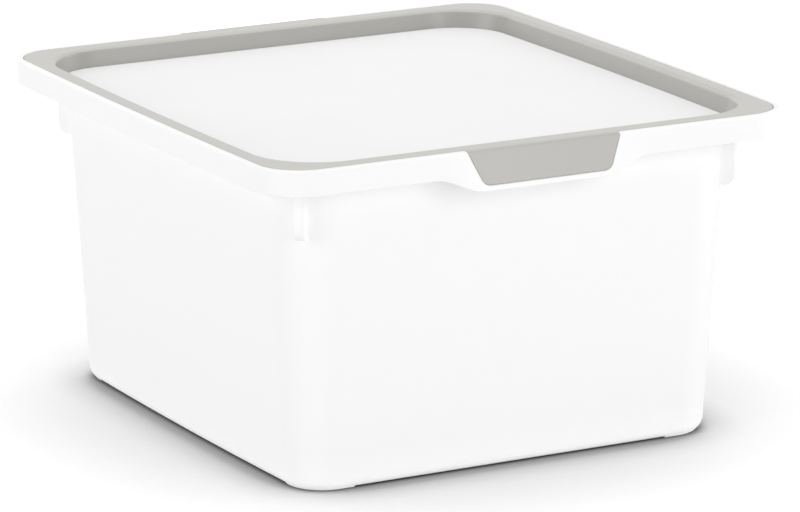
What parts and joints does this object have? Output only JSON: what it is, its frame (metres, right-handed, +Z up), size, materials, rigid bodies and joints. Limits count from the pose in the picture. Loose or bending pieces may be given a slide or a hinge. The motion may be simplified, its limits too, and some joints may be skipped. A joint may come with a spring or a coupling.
{
  "type": "lidded storage box",
  "caption": "Tapered white plastic storage tub with a framed drop-in lid, a sunken lid panel, and grey flip tabs that fold over finger grips at the front and rear.",
  "frame": {"origin": "on the floor under the middle of the box", "axes": "+Z up, front tab towards -Y, +X to the right seen from the front"},
  "size_m": [0.358, 0.3928, 0.206],
  "materials": {
    "white_tub": "white moulded polypropylene, satin",
    "white_panel": "white moulded polypropylene, satin, very slightly darker than the tub",
    "grey_lid": "warm light grey moulded polypropylene, fine matte"
  },
  "bodies": {
    "tub": {"tub": "white_tub"},
    "lid": {"lid_frame": "grey_lid", "lid_panel": "white_panel"},
    "front_tab": {"front_tab": "grey_lid"},
    "rear_tab": {"rear_tab": "grey_lid"}
  },
  "joints": [
    {"name": "lid_lift", "type": "slide", "parent": "tub", "child": "lid", "axis": [0, 0, 1], "range_m": [0, 0.15]},
    {"name": "front_tab_hinge", "type": "hinge", "parent": "lid", "child": "front_tab", "pos_m": [0, -0.18665, 0.206], "axis": [-1, 0, 0], "range_deg": [0, 110]},
    {"name": "rear_tab_hinge", "type": "hinge", "parent": "lid", "child": "rear_tab", "pos_m": [0, 0.18665, 0.206], "axis": [1, 0, 0], "range_deg": [0, 110]}
  ]
}
